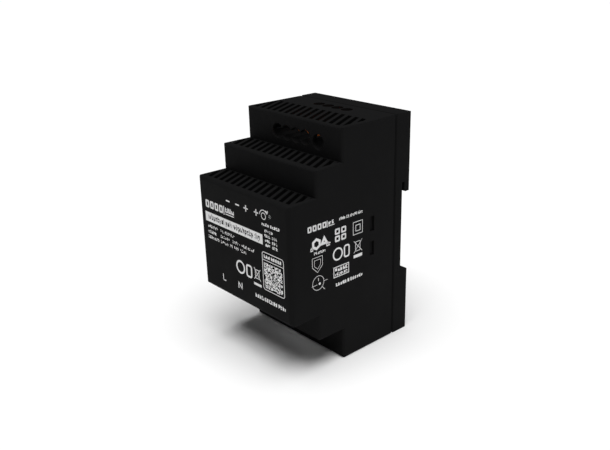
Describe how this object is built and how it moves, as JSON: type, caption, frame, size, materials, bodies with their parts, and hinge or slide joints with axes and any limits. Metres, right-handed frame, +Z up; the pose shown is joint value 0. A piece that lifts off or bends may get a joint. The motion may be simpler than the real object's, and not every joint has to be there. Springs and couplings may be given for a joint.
{
  "type": "din rail power supply",
  "caption": "Stepped black DIN rail power supply with slanted vents, recessed screw terminals, trimmer, status lamp and sprung rail latch.",
  "frame": {"origin": "centre of the rail seat, on the plane where the rail's flanges bear", "axes": "+Z up, +Y towards the rail, +X to the right seen from the front"},
  "size_m": [0.0524, 0.061, 0.09],
  "materials": {
    "case_black": "fine matte moulded",
    "base_black": "fine matte moulded",
    "latch_black": "satin moulded",
    "board_green": "solder resist",
    "terminal_orange": "moulded",
    "steel": "zinc plated",
    "contact_brass": "tin over brass",
    "trimmer_blue": "moulded",
    "trimmer_white": "moulded",
    "lamp_clear": "clear moulded",
    "ferrite": "sintered",
    "tape_yellow": "wrapped film",
    "moulding_black": "moulded",
    "can_sleeve": "shrink sleeve",
    "copper": "enamelled wire",
    "core_yellow": "painted powder core",
    "film_yellow": "moulded box",
    "disc_blue": "dipped epoxy",
    "disc_green": "dipped epoxy",
    "ceramic": "glazed tube",
    "aluminium": "sheet",
    "opto_white": "moulded"
  },
  "bodies": {
    "case": {"front_housing": "case_black", "output_wire_plate": "case_black", "input_wire_plate": "case_black", "rear_base": "base_black", "latch_spring": "steel", "main_board": "board_green", "board_screws": "steel", "output_terminal_body": "terminal_orange", "output_contacts": "contact_brass", "input_terminal_body": "terminal_orange", "input_contacts": "contact_brass", "trimmer_body": "trimmer_blue", "status_led": "lamp_clear", "light_pipe": "lamp_clear", "transformer_core": "ferrite", "transformer_bobbin": "moulding_black", "transformer_winding": "tape_yellow", "bulk_capacitor": "can_sleeve", "output_capacitor_1": "can_sleeve", "output_capacitor_2": "can_sleeve", "output_choke_core": "core_yellow", "output_choke_winding": "copper", "line_choke_core": "ferrite", "line_choke_windings": "copper", "x_capacitor": "film_yellow", "y_capacitor": "disc_blue", "bridge_rectifier": "moulding_black", "varistor": "disc_blue", "inrush_thermistor": "disc_green", "mains_fuse": "ceramic", "fuse_clips": "contact_brass", "primary_heatsink": "aluminium", "switching_transistor": "moulding_black", "secondary_heatsink": "aluminium", "rectifier_diode": "moulding_black", "heatsink_screws": "steel", "control_board": "board_green", "controller_chip": "moulding_black", "optocoupler": "opto_white"},
    "latch": {"rail_latch": "latch_black"},
    "rotor": {"trimmer_rotor": "trimmer_white"},
    "output_screw_body_1": {"output_screw_1": "steel"},
    "output_cage_body_1": {"output_cage_1": "steel"},
    "output_screw_body_2": {"output_screw_2": "steel"},
    "output_cage_body_2": {"output_cage_2": "steel"},
    "output_screw_body_3": {"output_screw_3": "steel"},
    "output_cage_body_3": {"output_cage_3": "steel"},
    "output_screw_body_4": {"output_screw_4": "steel"},
    "output_cage_body_4": {"output_cage_4": "steel"},
    "input_screw_body_1": {"input_screw_1": "steel"},
    "input_cage_body_1": {"input_cage_1": "steel"},
    "input_screw_body_2": {"input_screw_2": "steel"},
    "input_cage_body_2": {"input_cage_2": "steel"}
  },
  "joints": [
    {"name": "latch_slide", "type": "slide", "parent": "case", "child": "latch", "axis": [0, 0, -1], "range_m": [0, 0.003], "stiffness_N_per_m": 700, "springref_m": -0.003, "deforming": ["latch_spring"]},
    {"name": "trimmer_turn", "type": "hinge", "parent": "case", "child": "rotor", "pos_m": [0.01405, -0.0167, 0.037], "axis": [0, 1, 0], "range_deg": [-135, 135]},
    {"name": "output_screw_turn_1", "type": "hinge", "parent": "case", "child": "output_screw_body_1", "pos_m": [-0.00813, -0.0185, 0.0375], "axis": [0, 1, 0], "range_deg": [0, 1800]},
    {"name": "output_cage_lift_1", "type": "slide", "parent": "case", "child": "output_cage_body_1", "axis": [0, -1, 0], "range_m": [0, 0.0025]},
    {"name": "output_screw_turn_2", "type": "hinge", "parent": "case", "child": "output_screw_body_2", "pos_m": [-0.00305, -0.0185, 0.0375], "axis": [0, 1, 0], "range_deg": [0, 1800]},
    {"name": "output_cage_lift_2", "type": "slide", "parent": "case", "child": "output_cage_body_2", "axis": [0, -1, 0], "range_m": [0, 0.0025]},
    {"name": "output_screw_turn_3", "type": "hinge", "parent": "case", "child": "output_screw_body_3", "pos_m": [0.00203, -0.0185, 0.0375], "axis": [0, 1, 0], "range_deg": [0, 1800]},
    {"name": "output_cage_lift_3", "type": "slide", "parent": "case", "child": "output_cage_body_3", "axis": [0, -1, 0], "range_m": [0, 0.0025]},
    {"name": "output_screw_turn_4", "type": "hinge", "parent": "case", "child": "output_screw_body_4", "pos_m": [0.00711, -0.0185, 0.0375], "axis": [0, 1, 0], "range_deg": [0, 1800]},
    {"name": "output_cage_lift_4", "type": "slide", "parent": "case", "child": "output_cage_body_4", "axis": [0, -1, 0], "range_m": [0, 0.0025]},
    {"name": "input_screw_turn_1", "type": "hinge", "parent": "case", "child": "input_screw_body_1", "pos_m": [-0.01318, -0.0185, -0.0387], "axis": [0, 1, 0], "range_deg": [0, 1800]},
    {"name": "input_cage_lift_1", "type": "slide", "parent": "case", "child": "input_cage_body_1", "axis": [0, -1, 0], "range_m": [0, 0.0025]},
    {"name": "input_screw_turn_2", "type": "hinge", "parent": "case", "child": "input_screw_body_2", "pos_m": [-0.00302, -0.0185, -0.0387], "axis": [0, 1, 0], "range_deg": [0, 1800]},
    {"name": "input_cage_lift_2", "type": "slide", "parent": "case", "child": "input_cage_body_2", "axis": [0, -1, 0], "range_m": [0, 0.0025]}
  ],
  "couplings": [
    {"joint": "output_screw_turn_1", "follows": "output_cage_lift_1", "rad_per_m": 12566},
    {"joint": "output_screw_turn_2", "follows": "output_cage_lift_2", "rad_per_m": 12566},
    {"joint": "output_screw_turn_3", "follows": "output_cage_lift_3", "rad_per_m": 12566},
    {"joint": "output_screw_turn_4", "follows": "output_cage_lift_4", "rad_per_m": 12566},
    {"joint": "input_screw_turn_1", "follows": "input_cage_lift_1", "rad_per_m": 12566},
    {"joint": "input_screw_turn_2", "follows": "input_cage_lift_2", "rad_per_m": 12566}
  ]
}
